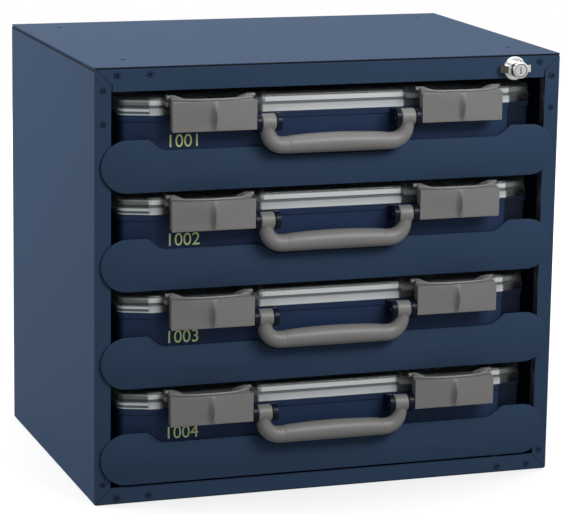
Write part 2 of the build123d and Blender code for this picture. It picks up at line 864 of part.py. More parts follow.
def handle():
    """U-shaped handle hanging from its pins, with a thicker grip."""
    pivot_z = handle_pivot_height
    grip_z = pivot_z - handle_drop
    path = FilletPolyline((-handle_leg_x, handle_pivot_y, pivot_z),
                          (-handle_leg_x, handle_pivot_y, grip_z),
                          (handle_leg_x, handle_pivot_y, grip_z),
                          (handle_leg_x, handle_pivot_y, pivot_z), radius=handle_corner_radius)
    start = Plane(origin=path @ 0, x_dir=(1, 0, 0), z_dir=path % 0)
    section = Ellipse(handle_leg_width / 2 - handle_leg_relief, handle_leg_depth / 2)
    body = sweep(start * section, path=path)
    profile = [Line((-grip_half_length, 0), (-grip_half_length, grip_end_radius)),
               ThreePointArc((-grip_half_length, grip_end_radius), (0, grip_radius),
                             (grip_half_length, grip_end_radius)),
               Polyline((grip_half_length, grip_end_radius), (grip_half_length, 0),
                        (-grip_half_length, 0))]
    body += Pos(0, handle_pivot_y, grip_z) * revolve(make_face(profile), Axis.X)
    for side in (-1, 1):
        centre = side * handle_leg_x
        for radius, reach in ((handle_eye_radius, 0), (handle_pin_radius, handle_pin_length)):
            spread = handle_leg_width / 2 + reach
            body += rod_x(radius, (centre - spread, centre + spread), handle_pivot_y, pivot_z)
    return body


# Lock

def lock_body():
    ring = rod_y(lock_ring_radius, (front - lock_ring_thickness, front), lock_x, lock_z)
    ring = fillet(ring.edges().sort_by(Axis.Y)[0], lock_ring_thickness / 2)
    barrel = rod_y(lock_barrel_radius, (front, front + lock_barrel_length), lock_x, lock_z)
    bore = rod_y(lock_plug_radius + lock_fit,
                 (front - lock_ring_thickness, front + lock_barrel_length), lock_x, lock_z)
    return ring + barrel - bore


def lock_nut():
    ys = (front + sheet, front + sheet + lock_nut_thickness)
    hexagon = RegularPolygon(lock_nut_flats / 2, 6, major_radius=False)
    nut = Pos(lock_x, 0, lock_z) * from_front(hexagon, ys)
    return nut - rod_y(lock_barrel_radius + lock_fit, ys, lock_x, lock_z)


def lock_knob():
    """Hub with two wings that thin out towards their tips, pinned on the plug."""
    hub = rod_y(knob_hub_radius, (knob_front, knob_rear), lock_x, lock_z)
    hub = fillet(hub.edges().sort_by(Axis.Y)[0], knob_hub_edge)
    right = [(knob_hub_radius, knob_wing_root), (knob_wing_span / 2, knob_wing_tip),
             (knob_wing_span / 2, 0)]
    left = [(-x, proud) for x, proud in reversed(right)]
    plan = outline([(lock_x + x, knob_rear - proud, 0) for x, proud in right + left])
    wings = from_above(plan, (lock_z - knob_wing_height / 2, lock_z + knob_wing_height / 2))
    hub += fillet(wings.edges().filter_by(Axis.Z), knob_wing_edge)
    return hub - rod_y(lock_plug_radius + lock_fit, (knob_front, knob_rear), lock_x, lock_z)


def lock_plug():
    plug = rod_y(lock_plug_radius, (knob_front + plug_recess, plug_rear), lock_x, lock_z)
    slot_ys = (knob_front, knob_front + plug_recess + key_slot_depth)
    plug -= block((lock_x - key_slot_width / 2, lock_x + key_slot_width / 2), slot_ys,
                  (lock_z - key_slot_length / 2, lock_z + key_slot_length / 2))
    return plug - rod_y(cam_screw_radius + lock_fit,
                        (plug_rear - cam_screw_length, plug_rear), lock_x, lock_z)


def cam_pin_place():
    angle = math.radians(cam_start)
    return lock_x + cam_throw * math.cos(angle), lock_z + cam_throw * math.sin(angle)


def lock_cam():
    """Disc on the rear of the plug with the pin that lifts the lock bar."""
    disc = rod_y(cam_radius, (plug_rear, cam_rear), lock_x, lock_z)
    disc -= rod_y(cam_screw_radius + lock_fit, (plug_rear, cam_rear), lock_x, lock_z)
    disc -= rod_y(cam_screw_head_radius + lock_fit, (cam_rear - cam_screw_head_height, cam_rear),
                  lock_x, lock_z)
    x, z = cam_pin_place()
    return disc + rod_y(cam_pin_radius, (cam_rear, bar_rear + bar_clearance), x, z)


def lock_cam_screw():
    head_front = cam_rear - cam_screw_head_height
    head = rod_y(cam_screw_head_radius, (head_front, cam_rear), lock_x, lock_z)
    return head + rod_y(cam_screw_radius, (plug_rear - cam_screw_length, head_front),
                        lock_x, lock_z)


def lock_bar():
    """Flat bar behind the right stile: slotted arm at the cam, one finger at each drawer."""
    bar_ys = (bar_front, bar_rear)
    pin_x, pin_z = cam_pin_place()
    arm_zs = (pin_z - bar_arm_height / 2, pin_z + bar_arm_height / 2)
    bar = block((bar_inner_x, bar_outer_x), bar_ys, (bar_foot, arm_zs[1]))
    slot_low = pin_x - cam_pin_radius - bar_slot_clearance - bar_slot_spare / 2
    slot_high = lock_x + cam_throw + cam_pin_radius + bar_slot_clearance
    bar += block((slot_low - bar_arm_margin, bar_inner_x), bar_ys, arm_zs)
    slot_half = cam_pin_radius + bar_slot_clearance
    bar -= block((slot_low, slot_high), bar_ys, (pin_z - slot_half, pin_z + slot_half))
    finger_low = finger_x - finger_width / 2
    for number in drawer_numbers:
        tip = plate_bottom(number) + tab_height - finger_gap
        shoulder = tip - finger_rise
        bar += block((finger_low, bar_inner_x), bar_ys, (shoulder - finger_arm_height, shoulder))
        bar += block((finger_low, finger_low + finger_width), bar_ys, (shoulder, tip))
    return bar


def lock_bar_guides():
    """Channel guides on the cabinet side, one above each drawer's finger."""
    guides = []
    for number in drawer_numbers:
        low = plate_bottom(number) + guide_rise
        zs = (low, low + guide_height)
        ys = (bar_front - guide_gap - guide_sheet, bar_rear + guide_gap + guide_sheet)
        inner_ys = (bar_front - guide_gap, bar_rear + guide_gap)
        guide = block((bar_inner_x + bar_width / 2, half - sheet), ys, zs)
        guides.append(guide - block((bar_inner_x, half - sheet - guide_sheet), inner_ys, zs))
    return guides


os.makedirs("parts", exist_ok=True)

save(cabinet_wrap(), "cabinet_wrap")
save(top_panel(), "top_panel")
save(back_panel(), "back_panel")
save(corner_gussets(), "corner_gussets")
save(panel_rivets(), "panel_rivets")
save(lock_body(), "lock_body")
save(lock_nut(), "lock_nut")
save(lock_knob(), "lock_knob")
save(lock_plug(), "lock_plug")
save(lock_cam(), "lock_cam")
save(lock_cam_screw(), "lock_cam_screw")
save(lock_bar(), "lock_bar")
save(lock_bar_guides(), "lock_bar_guides")

right_latch = latch()
drawer_parts = {
    "rail_outer": rail_outer(),
    "rail_middle": rail_middle(),
    "rail_inner": rail_inner(),
    "drawer_front": [drawer_front()],
    "tray": [tray()],
    "case_base": [case_base()],
    "case_lid": [case_lid()],
    "bins": bins(),
    "handle": [handle()],
    "latch_right": [right_latch],
    "latch_left": [mirror(right_latch, about=Plane.YZ)],
}
for number in drawer_numbers:
    place = Pos(0, 0, tray_floor(number))
    for node, shapes in drawer_parts.items():
        save([place * shape for shape in shapes], f"{node}_{number}")
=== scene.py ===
import contextlib
import math

import bmesh
import bpy
from mathutils import Matrix, Vector


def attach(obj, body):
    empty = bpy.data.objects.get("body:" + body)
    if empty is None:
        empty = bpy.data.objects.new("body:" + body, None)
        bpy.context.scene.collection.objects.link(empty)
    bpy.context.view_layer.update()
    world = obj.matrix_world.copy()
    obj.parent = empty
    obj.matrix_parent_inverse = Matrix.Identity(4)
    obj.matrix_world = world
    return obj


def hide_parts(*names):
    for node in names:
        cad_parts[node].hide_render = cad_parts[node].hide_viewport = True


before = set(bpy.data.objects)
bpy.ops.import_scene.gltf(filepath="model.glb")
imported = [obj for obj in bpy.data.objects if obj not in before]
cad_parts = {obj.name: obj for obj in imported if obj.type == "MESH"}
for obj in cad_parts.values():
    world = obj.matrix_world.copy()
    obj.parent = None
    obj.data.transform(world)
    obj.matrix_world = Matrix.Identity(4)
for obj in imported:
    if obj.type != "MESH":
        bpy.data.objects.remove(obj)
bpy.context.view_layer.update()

# Sizes are written in millimetres, and MM turns them into Blender's metres.  The frame is the
# cabinet's: X to the right, Y to the back, Z up, with the origin at the middle of its underside.
MM = 0.001
same_place = 0.02

# Camera of the photograph, with its angles in radians and its focal length in pixels
photo_width = 563
photo_focal_px = 2704.545
camera_place = Vector((-859.592, -2531.578, 762.352)) * MM
camera_yaw = 0.32985
camera_pitch = 0.20955
camera_roll = 0.0150
sensor_width = 36.0

# Cabinet and lock
sheet_front = -165.5
sheet_top = 416.0
sheet_half = 232.0
lock_place = (183.3, 403.1)

# Drawers; the heights of a drawer's pieces are above its tray floor
tray_floors = {1: 306.0, 2: 212.8, 3: 119.6, 4: 26.4}
tray_pitch = 93.2
plate_edge_round = 0.5

# Case: front of the handle's lugs, and where the facet of the front corners starts
lug_front = -165.2
facet_start = 178.5

# Latch: plate, body and pins
latch_inner = 82.2
latch_outer = 163.5
latch_centre = (latch_inner + latch_outer) / 2
latch_face = -186.0
latch_back = -168.2
latch_low = 51.0
latch_ledge = 78.8
latch_rim = 81.2
latch_top = 84.2
latch_plate = 2.2
latch_side_step = 1.3
latch_pivot = (-171.1, 81.3)
latch_pin_radius = 2.0
latch_pin_reach = 2.2
latch_pin_inside = 9.0
latch_pin_round = 0.3
plate_round = 0.15
plate_lap = 0.2
body_round = 0.25
body_raise = 0.5
cutter_spare = 1.0

# Latch: rim with its bead, well and hollow behind the plate.  The cheeks' heights go by the
# distance from the latch's middle.
rim_front = -185.0
rim_wall = 1.4
rim_step = 0.3
rim_sweep = 7.0
rim_reach = 36.0
rim_power = 2.6
rim_rear = -175.0
bead_base = 79.9
bead_proud = 0.9
bead_lean = 0.7
cheek_heights = {0.0: 66.0, 10.0: 66.0, 14.0: 69.0, 18.0: 73.0, 22.0: 76.4, 25.0: 78.7, 28.0: 80.6,
                 31.0: 81.9, 34.0: 82.7, 37.0: 83.0, 39.35: 82.8}
crown_low = 64.0
well_half = 24.0
well_floor = 74.0
knuckle_rows = (-174.0, -171.1, -169.6)
knuckle_radius = 2.9
hollow_top = 63.0
hollow_wall = 2.0
hollow_front = 0.8
hollow_floor = 2.4
hollow_round = 1.2
catch_back = -173.6
catch_top = 72.0

# Latch: thumb ridge, with the shares of its rise by the distance from its middle
ridge_rise = 6.5
ridge_least = 0.4
ridge_foot = 52.4
ridge_columns = {0.0: 1.0, 0.6: 0.84, 1.6: 0.52, 3.2: 0.18, 5.0: 0.0}
ridge_rows = (53.0, 55.5, 58.5, 61.5, 64.75, 68.0, 71.0, 73.5, 76.0, 77.6, 78.5)

# Handle; a grip section is the distance from the middle and the radius
handle_y = -177.6
handle_leg = 69.3
handle_bottom = 25.7
handle_pivot = 56.3
handle_eye_radius = 8.2
handle_eye_half = 7.1
handle_eye_round = 0.8
handle_eye_sides = 64
handle_pin_radius = 3.0
handle_pin_reach = 3.6
handle_pin_round = 0.4
handle_pin_sides = 32
bend_radius = 15.0
bend_steps = 9
grip_radius = 9.5
grip_sides = 40
grip_sections = ((10.0, 9.42), (20.0, 9.3), (30.0, 9.1), (40.0, 8.8), (48.6, 8.45), (49.2, 8.2),
                 (50.4, 8.15), (51.0, 8.3), (54.3, 8.25))
leg_radius = 7.0
blend_voxel = 0.65
blend_passes = 8

# Number on a case
number_left = -163.5
number_face = -164.1
number_low = 34.0
number_size = 17.0
number_thickness = 0.12

# Marks on the finishes, most of them painted shade or painted highlights.  A line is its place,
# half of its width and its soft edge, and an edge is where a fade starts and where it ends.  The
# ring's line is in squares of the distance from the middle of the plug, and the wing's ends are
# from there too.
bend_shade_line = (sheet_front, 1.3, 0.6)
bend_shade_top_edge = (sheet_top - 2.1, sheet_top - 1.5)
seam_shade_line = (sheet_top - 2.9, 0.7, 0.6)
seam_shade_end_edge = (sheet_half - 0.8, sheet_half - 0.4)
lug_shade_edge = (lug_front - 0.4, lug_front)
base_corner_shade_edge = (facet_start - 1.0, facet_start + 1.0)
lid_front_edge = (sheet_front + 13.0, sheet_front + 17.0)
lid_middle_edge = (-1.0, 1.0)
lid_facet_edge = (facet_start, facet_start + 2.0)
lid_far_edge = (facet_start + 6.0, facet_start + 22.0)
lid_far_flange_edge = (facet_start, facet_start + 4.0)
lid_latch_inner_edge = (latch_inner - 13.0, latch_inner - 10.0)
lid_latch_outer_edge = (latch_outer, latch_outer + 7.0)
lid_wall_edge = (64.5, 70.0)
lid_flange_edge = (69.5, 71.0)
lid_neck_edge = (71.0, 73.0)
lid_crown_edge = (77.3, 78.5)
lid_foot_line = (63.6, 0.5, 0.4)
lid_lower_line = (64.9, 0.3, 0.4)
lid_seam_line = (66.5, 0.5, 0.4)
lid_flange_line = (69.0, 0.9, 0.5)
lid_neck_line = (72.0, 1.2, 0.5)
lid_upper_line = (77.2, 0.3, 0.4)
plug_ring_shade_line = (36.5, 3.0, 2.0)
wing_shade_end_edge = (-9.6, -8.6)
wing_shade_front_edge = (sheet_front - 4.0, sheet_front - 3.6)

# Floor and world in metres; the fade is in squares of the distance from the cabinet
floor_size = 4.4
floor_drop = 0.0002
floor_fade = (0.35, 1.5)
world_glow = 0.34
world_in_gloss = 0.6
world_in_glass = 1.0
plain_white = (1.0, 1.0, 1.0)


# Shader building blocks

class Level:
    """A number that varies over a surface; sums with it add Math nodes."""

    def __init__(self, finish, socket):
        self.finish = finish
        self.socket = socket

    def worked(self, operation, first, second):
        node = self.finish.node("ShaderNodeMath", {"operation": operation}, {0: first, 1: second})
        return Level(self.finish, node.outputs[0])

    def __add__(self, other):
        return self.worked("ADD", self, other)

    __radd__ = __add__

    def __sub__(self, other):
        return self.worked("SUBTRACT", self, other)

    def __rsub__(self, other):
        return self.worked("SUBTRACT", other, self)

    def __mul__(self, other):
        return self.worked("MULTIPLY", self, other)

    __rmul__ = __mul__

    def within(self, pitch):
        """What is left after whole pitches, never below 0."""
        return self.worked("FLOORED_MODULO", self, pitch)

    def size(self):
        return self.worked("ABSOLUTE", self, 0.0)

    def ramp(self, low, high):
        """0 below low, 1 above high, smooth between them."""
        node = self.finish.node("ShaderNodeMapRange", {"interpolation_type": "SMOOTHSTEP"},
                                {"Value": self, "From Min": low, "From Max": high})
        return Level(self.finish, node.outputs[0])

    def line(self, place, half, soft):
        """1 within half of a place, fading to 0 over soft."""
        return 1.0 - (self - place).size().ramp(half, half + soft)


def socket_name(name):
    """Name of a shader's socket, such as Base Color for base_color."""
    return name.replace("_", " ").title().replace("Ior", "IOR")


class Finish:
    """A material made of nodes round one Principled shader."""

    def __init__(self, name):
        self.material = bpy.data.materials.new(name)
        self.material.use_nodes = True
        self.tree = self.material.node_tree
        self.tree.nodes.clear()
        self.shader = self.node("ShaderNodeBsdfPrincipled")
        output = self.node("ShaderNodeOutputMaterial")
        self.tree.links.new(self.shader.outputs[0], output.inputs[0])
        self.place = self.node("ShaderNodeTexCoord").outputs["Object"]

    def node(self, kind, settings=None, inputs=None):
        node = self.tree.nodes.new(kind)
        for name, value in (settings or {}).items():
            setattr(node, name, value)
        for key, value in (inputs or {}).items():
            self.feed(node.inputs[key], value)
        return node

    def feed(self, socket, value):
        if isinstance(value, Level):
            self.tree.links.new(value.socket, socket)
        elif isinstance(value, bpy.types.NodeSocket):
            self.tree.links.new(value, socket)
        else:
            socket.default_value = value

    def noise(self, per_metre, detail=2.0, stretch=(1.0, 1.0, 1.0)):
        """Noise from 0 to 1, with so many waves in a metre."""
        mapping = self.node("ShaderNodeMapping", inputs={"Vector": self.place, "Scale": stretch})
        noise = self.node("ShaderNodeTexNoise", inputs={
            "Vector": mapping.outputs[0], "Scale": per_metre, "Detail": detail})
        return Level(self, noise.outputs[0])

    def metres(self, name):
        """Place along an axis, in metres."""
        node = self.node("ShaderNodeSeparateXYZ", inputs={0: self.place})
        return Level(self, node.outputs[name])

    def axis(self, name):
        """Place along an axis, in millimetres."""
        return self.metres(name) * (1.0 / MM)

    def mixed(self, share, *colours):
        """Mix of two colours; a colour is three numbers or the output of another mix."""
        first, second = [(*colour, 1.0) if isinstance(colour, tuple) else colour
                         for colour in colours]
        node = self.node("ShaderNodeMix", {"data_type": "RGBA"}, {0: share, 6: first, 7: second})
        return node.outputs[2]

    def grain(self, height, depth):
        """Bump of so many millimetres between the lowest and the highest of height."""
        node = self.node("ShaderNodeBump", inputs={"Distance": depth * MM, "Height": height})
        self.feed(self.shader.inputs["Normal"], node.outputs[0])

    def shaded(self, **values):
        """Values of the shader's sockets, such as roughness=0.4."""
        for name, value in values.items():
            self.feed(self.shader.inputs[socket_name(name)], value)


# Finishes

def powder_coat(name, colour, shade):
    """Powder coat: fine orange peel, faint clouds and a satin sheen, with painted shade along the
    top's front bend and along the seams where the top meets the sides.
    """
    finish = Finish(name)
    clouds = finish.noise(7.0, detail=3.0)
    peel = finish.noise(900.0)
    speck = finish.noise(2600.0, detail=1.0)
    height = finish.axis("Z")
    # Painted shade: dark lines along the top's front bend and along the seams at its sides
    bend = finish.axis("Y").line(*bend_shade_line) * height.ramp(*bend_shade_top_edge)
    seam = finish.axis("X").size().ramp(*seam_shade_end_edge) * height.line(*seam_shade_line)
    gap_shade = (0.002, 0.003, 0.007)
    body = finish.mixed(clouds, shade, colour)
    finish.shaded(base_color=finish.mixed(0.95 * (bend + seam), body, gap_shade),
                  roughness=0.46 + 0.12 * peel + 0.05 * clouds, specular_ior_level=0.05)
    finish.grain(peel + 0.4 * speck, 0.05)
    return finish.material


def moulding_marks(finish):
    """Flow marks and the fine spark-eroded texture of a moulding."""
    return finish.noise(22.0, detail=3.0, stretch=(1.0, 1.0, 3.0)), finish.noise(2200.0)


def moulded(name, colour, shade, roughness):
    """Plain moulded plastic."""
    finish = Finish(name)
    flow, texture = moulding_marks(finish)
    finish.shaded(base_color=finish.mixed(flow, shade, colour),
                  roughness=roughness + 0.14 * (texture - 0.5) + 0.06 * flow)
    finish.grain(texture, 0.03)
    return finish.material


def base_plastic():
    """Navy plastic of the case, glossier on the lugs, with painted shade making the lugs and the
    right corner dark.
    """
    finish = Finish("navy_plastic")
    flow, texture = moulding_marks(finish)
    lug = 1.0 - finish.axis("Y").ramp(*lug_shade_edge)
    corner = finish.axis("X").ramp(*base_corner_shade_edge)
    shade, colour, dark = (0.015, 0.032, 0.080), (0.019, 0.039, 0.095), (0.003, 0.005, 0.014)
    body = finish.mixed(flow, shade, colour)
    # Painted shade: the lugs beside the handle's eyes and the right corner go dark
    finish.shaded(base_color=finish.mixed(0.9 * (lug + corner), body, dark),
                  roughness=0.42 + 0.14 * texture + 0.06 * flow - 0.25 * lug,
                  specular_ior_level=0.15)
    finish.grain(texture, 0.03)
    return finish.material


def clear_lid():
    """Clear polycarbonate with a milky front, partly the plastic's haze and partly a painted
    reflection.  Its corners are clearer and painted grey as a reflection, its ends by the latches
    are clearer and painted dark as shade, its right end is painted dark as shade, and its crown's
    top is dark and clearer.  Dark lines painted in the neck and foot grooves are shade, and the
    thin bright lines on the left corner's edges are painted highlights."""
    finish = Finish("clear_polycarbonate")
    haze = finish.noise(60.0)
    across = finish.axis("X")
    reach = across.size()
    height = (finish.axis("Z") - tray_floors[4]).within(tray_pitch)

    front = 1.0 - finish.axis("Y").ramp(*lid_front_edge)
    facet = reach.ramp(*lid_facet_edge)
    left = facet * (1.0 - across.ramp(*lid_middle_edge))
    flange = 1.0 - height.ramp(*lid_flange_edge)
    far = across.ramp(*lid_far_edge) + 0.7 * flange * across.ramp(*lid_far_flange_edge)
    latch = reach.ramp(*lid_latch_inner_edge) * (1.0 - reach.ramp(*lid_latch_outer_edge))
    crown = height.ramp(*lid_crown_edge)
    grooves = height.line(*lid_neck_line) + height.line(*lid_foot_line)
    edges = (0.4 * height.line(*lid_upper_line) + height.line(*lid_flange_line)
             + height.line(*lid_lower_line))
    seam = height.line(*lid_seam_line)

    # Painted light: the corners' grey is a reflection, the dark right end, the dark by the latches
    # and the dark grooves are shade, and the white edge lines on the left corner are highlights
    milky, milky_flange, milky_wall = (0.70, 0.73, 0.74), (0.56, 0.58, 0.59), (0.74, 0.77, 0.78)
    facet_reflection_grey, edge_highlight_white, rear_milky = (0.26, 0.30, 0.29), (0.62, 0.68, 0.70), (0.62, 0.66, 0.67)
    lid_dark, groove_shade, seam_dark = (0.03, 0.03, 0.03), (0.05, 0.06, 0.07), (0.04, 0.06, 0.08)
    body = finish.mixed(height.ramp(*lid_wall_edge), milky, milky_flange)
    body = finish.mixed(height.ramp(*lid_neck_edge), body, milky_wall)
    body = finish.mixed(facet, body, facet_reflection_grey)
    body = finish.mixed(0.8 * (far + crown), body, lid_dark)
    body = finish.mixed(0.85 * latch, body, groove_shade)
    body = finish.mixed(0.8 * grooves, body, groove_shade)
    body = finish.mixed(left * edges, body, edge_highlight_white)
    body = finish.mixed(0.8 * left * seam, body, seam_dark)
    body = finish.mixed(front, rear_milky, body)

    # The alpha follows the same painted marks as the colour
    shown = 0.56 + 0.08 * haze - 0.36 * facet - 0.35 * far - 0.6 * latch - 0.3 * crown
    shown = shown + left * (0.5 * edges + 0.4 * seam)
    finish.shaded(base_color=body, roughness=0.1 + 0.06 * haze,
                  alpha=0.3 + 0.04 * haze + front * shown)
    finish.grain(haze, 0.02)
    return finish.material


def zinc_plate():
    """Bright zinc plate: soft spangle clouds and fine rolling lines."""
    finish = Finish("zinc_plate")
    spangle = finish.node("ShaderNodeTexVoronoi", inputs={"Vector": finish.place, "Scale": 140.0})
    cell = Level(finish, finish.node("ShaderNodeRGBToBW", inputs={
        0: spangle.outputs["Color"]}).outputs[0])
    lines = finish.noise(700.0, stretch=(1.0, 0.03, 1.0))
    finish.shaded(base_color=finish.mixed(cell, (0.42, 0.43, 0.44), (0.6, 0.61, 0.62)),
                  metallic=1.0, roughness=0.28 + 0.12 * cell + 0.1 * lines)
    finish.grain(lines, 0.01)
    return finish.material


def chrome_plate():
    """Polished plate on zinc castings, with painted shade darkening a ring round the plug and the
    left wing's end.
    """
    finish = Finish("polished_chrome")
    smear = finish.noise(160.0, detail=3.0)
    across, above = finish.axis("X") - lock_place[0], finish.axis("Z") - lock_place[1]
    distance_squared = across * across + above * above
    ring = distance_squared.line(*plug_ring_shade_line)
    wing = ((1.0 - across.ramp(*wing_shade_end_edge))
            * (1.0 - finish.axis("Y").ramp(*wing_shade_front_edge)))
    # Painted shade on the ring round the plug and on the left wing's end
    lock_shade = (0.05, 0.05, 0.045)
    body = finish.mixed(smear, (0.78, 0.78, 0.76), (0.88, 0.88, 0.85))
    finish.shaded(base_color=finish.mixed(0.9 * (ring + wing), body, lock_shade),
                  metallic=1.0, roughness=0.08 + 0.14 * smear)
    return finish.material


def print_ink():
    """Yellow-green printed numbers, a little uneven."""
    finish = Finish("print_ink")
    patch = finish.noise(300.0)
    finish.shaded(base_color=finish.mixed(patch, (0.72, 0.84, 0.34), (0.80, 0.92, 0.42)),
                  roughness=0.45 + 0.1 * patch)
    return finish.material


coat = powder_coat("navy_powder_coat", (0.035, 0.064, 0.117), (0.031, 0.058, 0.109))
# Rivet heads take a darker copy of the coat, as painted shade
rivet_shaded_coat = powder_coat("rivet_shaded_powder_coat", (0.023, 0.041, 0.075), (0.019, 0.035, 0.065))
navy = base_plastic()
grey = moulded("grey_plastic", (0.222, 0.219, 0.212), (0.198, 0.196, 0.190), 0.42)
pale = moulded("bin_plastic", (0.50, 0.52, 0.55), (0.44, 0.46, 0.49), 0.38)
clear = clear_lid()
zinc = zinc_plate()
chrome = chrome_plate()
ink = print_ink()


def dress(obj, material):
    obj.data.materials.clear()
    obj.data.materials.append(material)


def dress_nodes():
    """Give each CAD node the finish of its kind."""
    kinds = {
        coat: ["cabinet_wrap", "top_panel", "back_panel", "corner_gussets", "drawer_front", "tray"],
        rivet_shaded_coat: ["panel_rivets"],
        navy: ["case_base"],
        grey: ["handle", "latch_left", "latch_right"],
        clear: ["case_lid"],
        pale: ["bins"],
        chrome: ["lock_body", "lock_knob", "lock_plug"],
        zinc: ["lock_nut", "lock_cam", "lock_cam_screw", "lock_bar", "lock_bar_guides",
               "rail_outer", "rail_middle", "rail_inner"],
    }
    for material, names in kinds.items():
        for name in names:
            numbered = [f"{name}_{drawer}" for drawer in tray_floors]
            for node in ([name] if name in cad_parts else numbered):
                dress(bpy.data.objects[node], material)


# Modelling helpers

def deselect():
    bpy.ops.object.select_all(action="DESELECT")


def activate(obj):
    """Select this object alone."""
    deselect()
    obj.select_set(True)
    bpy.context.view_layer.objects.active = obj


def settle(obj):
    """Put the object's place into its mesh."""
    activate(obj)
    bpy.ops.object.transform_apply(location=True, rotation=True, scale=True)
    return obj


def named(name):
    """Name the primitive that was just added, and settle it."""
    obj = bpy.context.active_object
    obj.name = name
    return settle(obj)


def cube(name, xs, ys, zs):
    """Block between low and high places along X, Y and Z."""
    deselect()
    centre = [(low + high) / 2 * MM for low, high in (xs, ys, zs)]
    size = [(high - low) * MM for low, high in (xs, ys, zs)]
    bpy.ops.mesh.primitive_cube_add(size=1.0, location=centre, scale=size)
    return named(name)


def rod(name, radius, start, end, sides=48):
    """Cylinder between two points on a line along X, Y or Z."""
    deselect()
    start, end = Vector(start) * MM, Vector(end) * MM
    turn = Vector((0, 0, 1)).rotation_difference(end - start).to_euler()
    bpy.ops.mesh.primitive_cylinder_add(vertices=sides, radius=radius * MM, rotation=turn,
                                        depth=(end - start).length, location=(start + end) / 2)
    return named(name)


@contextlib.contextmanager
def editing(obj, mode="FACE"):
    activate(obj)
    bpy.ops.object.mode_set(mode="EDIT")
    bpy.ops.mesh.select_mode(type=mode)
    yield
    bpy.ops.object.mode_set(mode="OBJECT")


def pick(obj, test, kind="faces"):
    """In edit mode, select the faces or vertices whose place (and normal) passes the test."""
    bpy.ops.mesh.select_all(action="DESELECT")
    mesh = bmesh.from_edit_mesh(obj.data)
    if kind == "faces":
        for face in mesh.faces:
            face.select_set(test(face.calc_center_median() / MM, face.normal))
    else:
        for vertex in mesh.verts:
            vertex.select_set(test(vertex.co / MM))
        mesh.select_flush_mode()
    bmesh.update_edit_mesh(obj.data)


def near(value, place):
    """Whether a corner of the mesh lies at a place, along one axis."""
    return abs(value - place) < same_place


def cut(place, normal):
    """Cut new edges all round, on a plane through the place."""
    bpy.ops.mesh.select_all(action="SELECT")
    bpy.ops.mesh.bisect(plane_co=Vector(place) * MM, plane_no=normal)


def shift(x, y, z):
    bpy.ops.transform.translate(value=Vector((x, y, z)) * MM)


def flatten_to(height):
    """Bring what is selected to one height."""
    bpy.ops.transform.resize(value=(1.0, 1.0, 0.0), center_override=(0, 0, height * MM))


def modify(obj, kind, **settings):
    """Add a modifier and apply it."""
    activate(obj)
    modifier = obj.modifiers.new(kind.title(), kind)
    for name, value in settings.items():
        setattr(modifier, name, value)
    bpy.ops.object.modifier_apply(modifier=modifier.name)
    return obj


def combine(obj, other, operation):
    """Boolean of two objects; the second one is used up."""
    modify(obj, "BOOLEAN", operation=operation, object=other, solver="EXACT")
    bpy.data.objects.remove(other, do_unlink=True)


def join(obj, other):
    """Make the second object a part of the first."""
    activate(obj)
    other.select_set(True)
    bpy.ops.object.join()


def smooth(obj, angle=38.0):
    activate(obj)
    bpy.ops.object.shade_smooth_by_angle(angle=math.radians(angle))
    return obj


def rounded(obj, width, segments=2, angle=35.0):
    modify(obj, "BEVEL", width=width * MM, segments=segments, limit_method="ANGLE",
           angle_limit=math.radians(angle), use_clamp_overlap=True)
    return smooth(obj)


def copied(obj, name, x=0.0, z=0.0):
    """Copy with a mesh of its own, moved sideways and up."""
    activate(obj)
    bpy.ops.object.duplicate(linked=False)
    twin = bpy.context.active_object
    twin.name = name
    twin.location = (x * MM, 0, z * MM)
    return settle(twin)


def softened(node, name):
    """Copy of a plate's CAD mesh with its sharp edges rounded, to stand for the node."""
    obj = copied(bpy.data.objects[node], name)
    obj.parent = None
    with editing(obj, "VERT"):
        bpy.ops.mesh.select_all(action="SELECT")
        bpy.ops.mesh.remove_doubles(threshold=0.001 * MM)
        bpy.ops.mesh.dissolve_limited(angle_limit=math.radians(0.5))
    return rounded(obj, plate_edge_round, angle=30.0)


def finish_piece(obj, material, body, slot, *nodes):
    dress(obj, material)
    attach(obj, body)
    if nodes:
        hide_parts(*nodes)


# Latch

def ridge_proud(height):
    """How far the thumb ridge stands out of the plate at a height."""
    share = (height - ridge_foot) / (latch_ledge - ridge_foot)
    return max(0.0, ridge_least + 4 * ridge_rise * share * (1 - share))


def rim_back_swing(across):
    """How far back the rim runs at a distance from the latch's middle."""
    return rim_sweep * (abs(across) / rim_reach) ** rim_power


def latch_reach(y):
    """Greatest height of the top at a depth, so that the open latch clears the drawer above."""
    pivot_y, pivot_z = latch_pivot
    if y < knuckle_rows[0]:
        share = (y - latch_face) / (knuckle_rows[0] - latch_face)
        return latch_rim + (latch_top - latch_rim) * share
    return pivot_z + math.sqrt(max(0.0, knuckle_radius ** 2 - max(0.0, y - pivot_y) ** 2))


